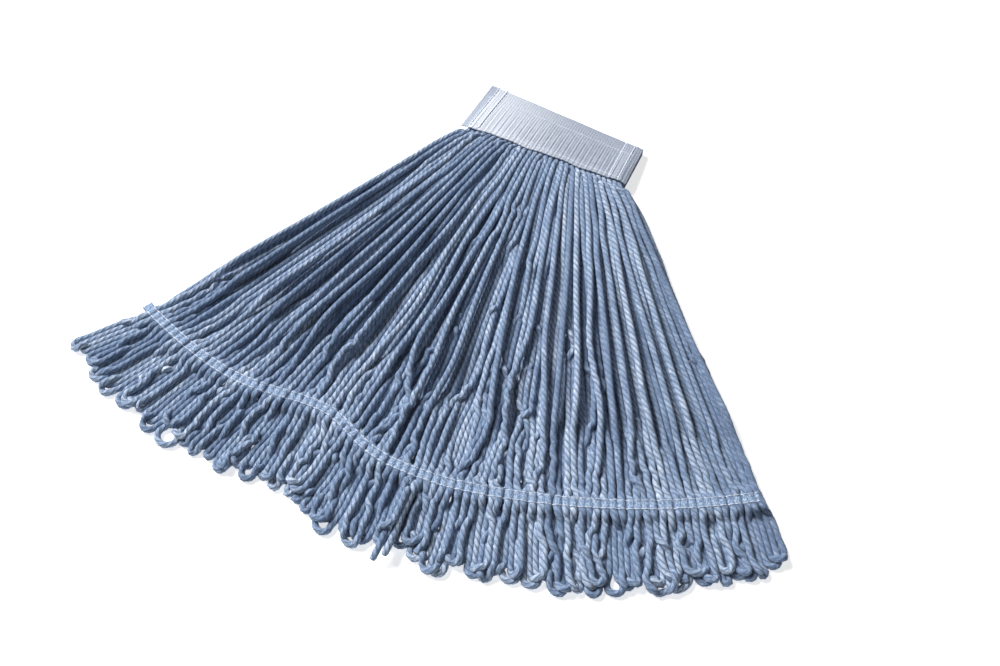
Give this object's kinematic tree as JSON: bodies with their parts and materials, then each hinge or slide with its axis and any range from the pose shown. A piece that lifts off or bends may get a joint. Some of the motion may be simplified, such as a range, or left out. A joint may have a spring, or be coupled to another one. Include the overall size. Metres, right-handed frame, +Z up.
{
  "type": "string mop",
  "caption": "Looped-end string mop head: blue twisted yarn fanning from a wide folded mesh headband, held by a sewn tail band, with a looped fringe.",
  "frame": {"origin": "middle of the headband's underside, where the folded mop rests on the floor", "axes": "+X along the headband, towards the fan's wider side; +Y from the yarn towards the headband's fold; +Z up from the floor"},
  "size_m": [0.6017, 0.4743, 0.0223],
  "materials": {
    "cotton_yarn": "matt twisted yarn",
    "headband_tape": "matt knitted mesh tape",
    "tail_tape": "matt woven tape",
    "sewing_thread": "matt polyester thread"
  },
  "bodies": {
    "back_skirt": {"back_fringe_1": "cotton_yarn", "back_fringe_2": "cotton_yarn", "back_fringe_3": "cotton_yarn", "back_fringe_4": "cotton_yarn", "back_fringe_5": "cotton_yarn", "back_fringe_6": "cotton_yarn", "back_fringe_7": "cotton_yarn", "back_fringe_8": "cotton_yarn", "back_tail_band_lower": "tail_tape", "back_tail_band_upper": "tail_tape", "back_tail_seams": "sewing_thread", "back_tail_yarn": "cotton_yarn", "back_yarn_1": "cotton_yarn", "back_yarn_2": "cotton_yarn", "back_yarn_3": "cotton_yarn", "back_yarn_4": "cotton_yarn", "back_yarn_5": "cotton_yarn", "back_yarn_6": "cotton_yarn", "back_yarn_7": "cotton_yarn", "back_yarn_8": "cotton_yarn"},
    "headband_back": {"headband_back_hem_left": "headband_tape", "headband_back_hem_right": "headband_tape", "headband_back_seams": "sewing_thread", "headband_back_tape": "headband_tape", "headband_back_yarn": "cotton_yarn"},
    "headband_front": {"headband_front_hem_left": "headband_tape", "headband_front_hem_right": "headband_tape", "headband_front_seams": "sewing_thread", "headband_front_tape": "headband_tape", "headband_front_yarn": "cotton_yarn"},
    "front_skirt": {"front_fringe_1": "cotton_yarn", "front_fringe_2": "cotton_yarn", "front_fringe_3": "cotton_yarn", "front_fringe_4": "cotton_yarn", "front_fringe_5": "cotton_yarn", "front_fringe_6": "cotton_yarn", "front_fringe_7": "cotton_yarn", "front_fringe_8": "cotton_yarn", "front_tail_band_lower": "tail_tape", "front_tail_band_upper": "tail_tape", "front_tail_seams": "sewing_thread", "front_tail_tuck": "tail_tape", "front_tail_yarn": "cotton_yarn", "front_yarn_1": "cotton_yarn", "front_yarn_2": "cotton_yarn", "front_yarn_3": "cotton_yarn", "front_yarn_4": "cotton_yarn", "front_yarn_5": "cotton_yarn", "front_yarn_6": "cotton_yarn", "front_yarn_7": "cotton_yarn", "front_yarn_8": "cotton_yarn", "loose_yarn_end_1": "cotton_yarn", "loose_yarn_end_2": "cotton_yarn"}
  },
  "joints": [
    {"name": "headband_tilt", "type": "hinge", "parent": "back_skirt", "child": "headband_back", "pos_m": [0, -0.031, 0.014], "axis": [1, 0, 0], "range_deg": [0, 75]},
    {"name": "fold_open", "type": "hinge", "parent": "headband_back", "child": "headband_front", "pos_m": [0, 0.0305, 0.004], "axis": [-1, 0, 0], "range_deg": [0, 170]},
    {"name": "front_yarn_bend", "type": "hinge", "parent": "headband_front", "child": "front_skirt", "pos_m": [0, -0.031, 0.014], "axis": [-1, 0, 0], "range_deg": [0, 75]}
  ],
  "couplings": [
    {"joint": "front_yarn_bend", "follows": "headband_tilt", "ratio": 1}
  ]
}
